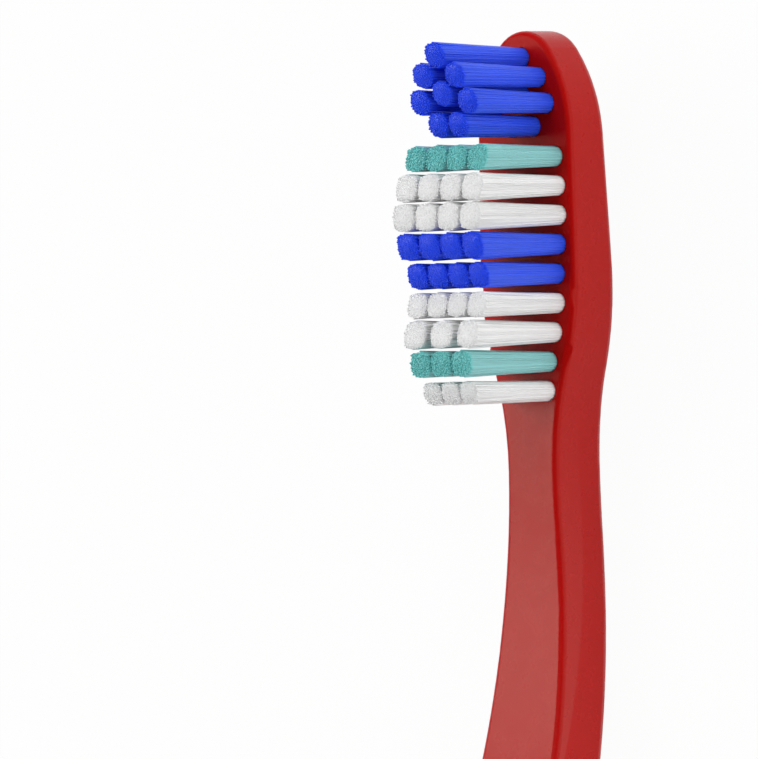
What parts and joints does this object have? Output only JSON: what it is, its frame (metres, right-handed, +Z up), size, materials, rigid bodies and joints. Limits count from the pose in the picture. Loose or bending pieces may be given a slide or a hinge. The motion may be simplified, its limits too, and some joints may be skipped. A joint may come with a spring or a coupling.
{
  "type": "manual toothbrush",
  "caption": "Manual toothbrush with a flat tilted head of nylon tufts in a wavy trim, a slim neck and a bent plastic handle with a ribbed rubber grip in its back.",
  "frame": {"origin": "under the middle of the brush, on the surface that it lies on", "axes": "+X along the brush towards the tip of the head, +Y across its width, +Z up along the tufts"},
  "size_m": [0.19, 0.0114, 0.0207],
  "materials": {
    "red_plastic": "smooth moulded plastic with a soft gloss",
    "grey_rubber": "matt moulded rubber",
    "blue_nylon": "fine drawn filaments, a little shiny along their length",
    "teal_nylon": "fine drawn filaments, a little shiny along their length",
    "white_nylon": "fine drawn filaments, slightly see-through",
    "anchor_metal": "cut flat wire, dull"
  },
  "bodies": {
    "root": {"handle": "red_plastic", "grip": "grey_rubber", "anchors": "anchor_metal", "tuft_tip_1": "blue_nylon", "tuft_tip_2": "blue_nylon", "tuft_tip_3": "blue_nylon", "tuft_tip_4": "blue_nylon", "tuft_tip_5": "blue_nylon", "tuft_tip_6": "blue_nylon", "tuft_tip_7": "blue_nylon", "tuft_tip_8": "blue_nylon", "tuft_row1_1": "teal_nylon", "tuft_row1_2": "teal_nylon", "tuft_row1_3": "teal_nylon", "tuft_row1_4": "teal_nylon", "tuft_row2_1": "white_nylon", "tuft_row2_2": "white_nylon", "tuft_row2_3": "white_nylon", "tuft_row2_4": "white_nylon", "tuft_row3_1": "white_nylon", "tuft_row3_2": "white_nylon", "tuft_row3_3": "white_nylon", "tuft_row3_4": "white_nylon", "tuft_row4_1": "blue_nylon", "tuft_row4_2": "blue_nylon", "tuft_row4_3": "blue_nylon", "tuft_row4_4": "blue_nylon", "tuft_row5_1": "blue_nylon", "tuft_row5_2": "blue_nylon", "tuft_row5_3": "blue_nylon", "tuft_row5_4": "blue_nylon", "tuft_row6_1": "white_nylon", "tuft_row6_2": "white_nylon", "tuft_row6_3": "white_nylon", "tuft_row6_4": "white_nylon", "tuft_row7_1": "white_nylon", "tuft_row7_2": "white_nylon", "tuft_row7_3": "white_nylon", "tuft_row8_1": "teal_nylon", "tuft_row8_2": "teal_nylon", "tuft_row8_3": "teal_nylon", "tuft_row9_1": "white_nylon", "tuft_row9_2": "white_nylon", "tuft_row9_3": "white_nylon"}
  },
  "joints": []
}
